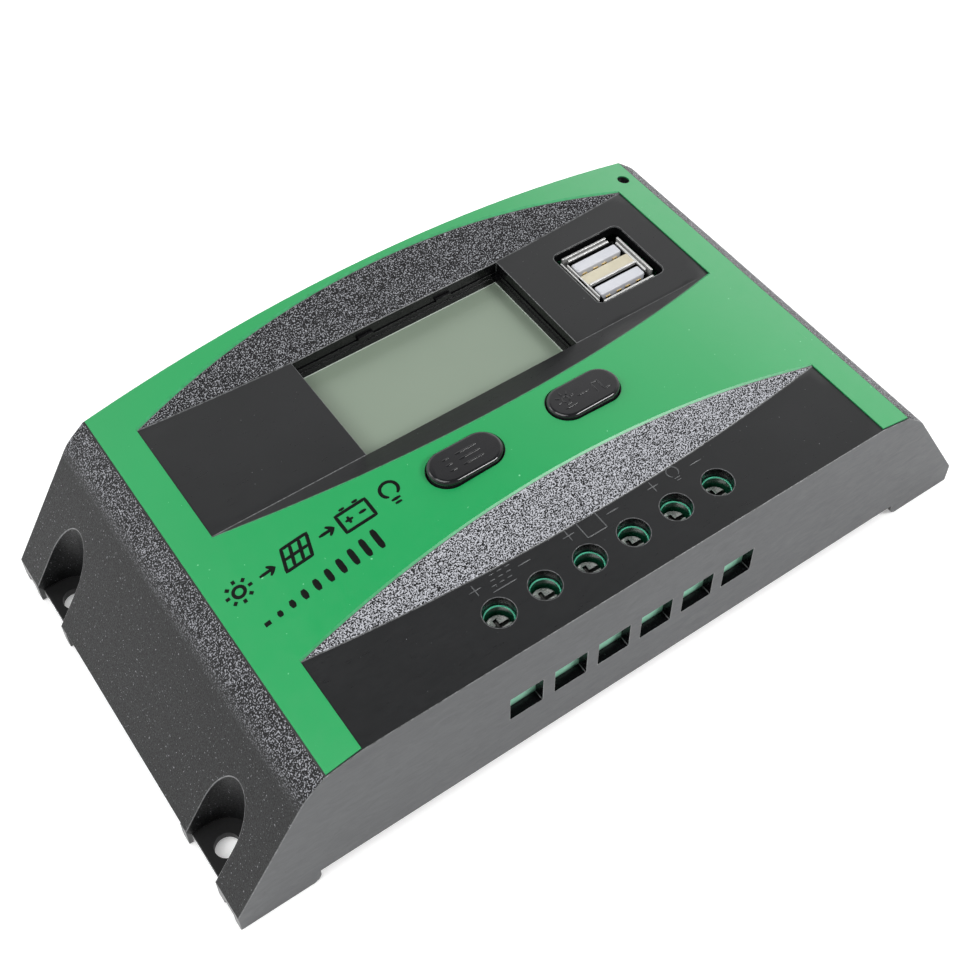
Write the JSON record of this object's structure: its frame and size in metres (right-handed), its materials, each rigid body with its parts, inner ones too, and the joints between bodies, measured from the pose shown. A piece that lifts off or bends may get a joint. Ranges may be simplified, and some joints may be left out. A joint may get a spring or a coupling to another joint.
{
  "type": "solar charge controller",
  "caption": "Solar charge controller with a crowned face, sunken display panel, charging sockets, press buttons and a row of screw clamps.",
  "frame": {"origin": "middle of the footprint at the level of the foot edges", "axes": "+X along the housing to the right, +Y from the wire entries to the back, +Z out of the crowned face"},
  "size_m": [0.15, 0.0794, 0.0377],
  "materials": {
    "black_abs": "moulded grain on the bevels and sunken facets, satin on the flat panels",
    "green_film": "printed film, semi-gloss",
    "black_plate": "matt moulded",
    "zinc_steel": "zinc plated",
    "nickel_steel": "nickel plated",
    "green_board": "solder mask, satin",
    "lcd_glass": "blank grey-green display",
    "white_guide": "diffuse",
    "tinned_metal": "tinned copper",
    "cream_plastic": "matt moulded",
    "white_plastic": "satin moulded",
    "gold_contact": "gold flashed",
    "black_switch": "matt moulded",
    "smoked_lens": "dark clear lens",
    "green_terminal": "moulded polyamide, satin",
    "aluminium": "milled",
    "grey_pad": "silicone pad",
    "chip_black": "epoxy package",
    "cap_sleeve": "shrink sleeve",
    "fuse_orange": "clear-edged moulded",
    "shunt_alloy": "manganin strip",
    "ferrite": "sintered ferrite",
    "button_gloss": "polished"
  },
  "bodies": {
    "housing": {"top_cover": "black_abs", "face_film": "green_film", "base_plate": "black_plate", "cover_screws": "zinc_steel", "main_board": "green_board", "main_board_screws": "zinc_steel", "display_board": "green_board", "display_board_screws": "zinc_steel", "lcd_glass": "lcd_glass", "lcd_backlight": "white_guide", "lcd_pins": "tinned_metal", "usb_shell": "nickel_steel", "usb_spacer": "cream_plastic", "usb_tongues": "white_plastic", "usb_contacts": "gold_contact", "switch_menu_body": "black_switch", "switch_load_body": "black_switch", "status_led": "smoked_lens", "terminal_block": "green_terminal", "current_bars": "tinned_metal", "heat_spreader": "aluminium", "insulating_pads": "grey_pad", "mosfets": "chip_black", "capacitors": "cap_sleeve", "small_capacitors": "cap_sleeve", "fuse_holder": "chip_black", "blade_fuse": "fuse_orange", "current_shunts": "shunt_alloy", "inductor": "ferrite", "microcontroller": "chip_black", "driver_chips": "chip_black", "power_diode": "chip_black", "board_header": "chip_black", "header_pins": "gold_contact", "board_connector": "chip_black"},
    "button_menu_body": {"button_menu": "button_gloss"},
    "switch_menu_plunger_body": {"switch_menu_plunger": "white_plastic"},
    "button_load_body": {"button_load": "button_gloss"},
    "switch_load_plunger_body": {"switch_load_plunger": "white_plastic"},
    "screw_1": {"terminal_screw_1": "nickel_steel"},
    "cage_1": {"clamp_cage_1": "zinc_steel"},
    "screw_2": {"terminal_screw_2": "nickel_steel"},
    "cage_2": {"clamp_cage_2": "zinc_steel"},
    "screw_3": {"terminal_screw_3": "nickel_steel"},
    "cage_3": {"clamp_cage_3": "zinc_steel"},
    "screw_4": {"terminal_screw_4": "nickel_steel"},
    "cage_4": {"clamp_cage_4": "zinc_steel"},
    "screw_5": {"terminal_screw_5": "nickel_steel"},
    "cage_5": {"clamp_cage_5": "zinc_steel"},
    "screw_6": {"terminal_screw_6": "nickel_steel"},
    "cage_6": {"clamp_cage_6": "zinc_steel"}
  },
  "joints": [
    {"name": "button_menu_press", "type": "slide", "parent": "housing", "child": "button_menu_body", "axis": [0, 0, -1], "range_m": [0, 0.0004], "stiffness_N_per_m": 1500},
    {"name": "switch_menu_press", "type": "slide", "parent": "housing", "child": "switch_menu_plunger_body", "axis": [0, 0, -1], "range_m": [0, 0.0004]},
    {"name": "button_load_press", "type": "slide", "parent": "housing", "child": "button_load_body", "axis": [0, 0, -1], "range_m": [0, 0.0004], "stiffness_N_per_m": 1500},
    {"name": "switch_load_press", "type": "slide", "parent": "housing", "child": "switch_load_plunger_body", "axis": [0, 0, -1], "range_m": [0, 0.0004]},
    {"name": "screw_1_turn", "type": "hinge", "parent": "housing", "child": "screw_1", "pos_m": [-0.02187, -0.0321, 0.02595], "axis": [0, 0, -1], "range_deg": [0, 1440]},
    {"name": "cage_1_rise", "type": "slide", "parent": "housing", "child": "cage_1", "axis": [0, 0, 1], "range_m": [0, 0.002]},
    {"name": "screw_2_turn", "type": "hinge", "parent": "housing", "child": "screw_2", "pos_m": [-0.01323, -0.0321, 0.02595], "axis": [0, 0, -1], "range_deg": [0, 1440]},
    {"name": "cage_2_rise", "type": "slide", "parent": "housing", "child": "cage_2", "axis": [0, 0, 1], "range_m": [0, 0.002]},
    {"name": "screw_3_turn", "type": "hinge", "parent": "housing", "child": "screw_3", "pos_m": [-0.00458, -0.0321, 0.02595], "axis": [0, 0, -1], "range_deg": [0, 1440]},
    {"name": "cage_3_rise", "type": "slide", "parent": "housing", "child": "cage_3", "axis": [0, 0, 1], "range_m": [0, 0.002]},
    {"name": "screw_4_turn", "type": "hinge", "parent": "housing", "child": "screw_4", "pos_m": [0.00407, -0.0321, 0.02595], "axis": [0, 0, -1], "range_deg": [0, 1440]},
    {"name": "cage_4_rise", "type": "slide", "parent": "housing", "child": "cage_4", "axis": [0, 0, 1], "range_m": [0, 0.002]},
    {"name": "screw_5_turn", "type": "hinge", "parent": "housing", "child": "screw_5", "pos_m": [0.01273, -0.0321, 0.02595], "axis": [0, 0, -1], "range_deg": [0, 1440]},
    {"name": "cage_5_rise", "type": "slide", "parent": "housing", "child": "cage_5", "axis": [0, 0, 1], "range_m": [0, 0.002]},
    {"name": "screw_6_turn", "type": "hinge", "parent": "housing", "child": "screw_6", "pos_m": [0.02138, -0.0321, 0.02595], "axis": [0, 0, -1], "range_deg": [0, 1440]},
    {"name": "cage_6_rise", "type": "slide", "parent": "housing", "child": "cage_6", "axis": [0, 0, 1], "range_m": [0, 0.002]}
  ],
  "couplings": [
    {"joint": "switch_menu_press", "follows": "button_menu_press", "ratio": 1},
    {"joint": "switch_load_press", "follows": "button_load_press", "ratio": 1},
    {"joint": "cage_1_rise", "follows": "screw_1_turn", "m_per_rad": 0.000079577},
    {"joint": "cage_2_rise", "follows": "screw_2_turn", "m_per_rad": 0.000079577},
    {"joint": "cage_3_rise", "follows": "screw_3_turn", "m_per_rad": 0.000079577},
    {"joint": "cage_4_rise", "follows": "screw_4_turn", "m_per_rad": 0.000079577},
    {"joint": "cage_5_rise", "follows": "screw_5_turn", "m_per_rad": 0.000079577},
    {"joint": "cage_6_rise", "follows": "screw_6_turn", "m_per_rad": 0.000079577}
  ]
}
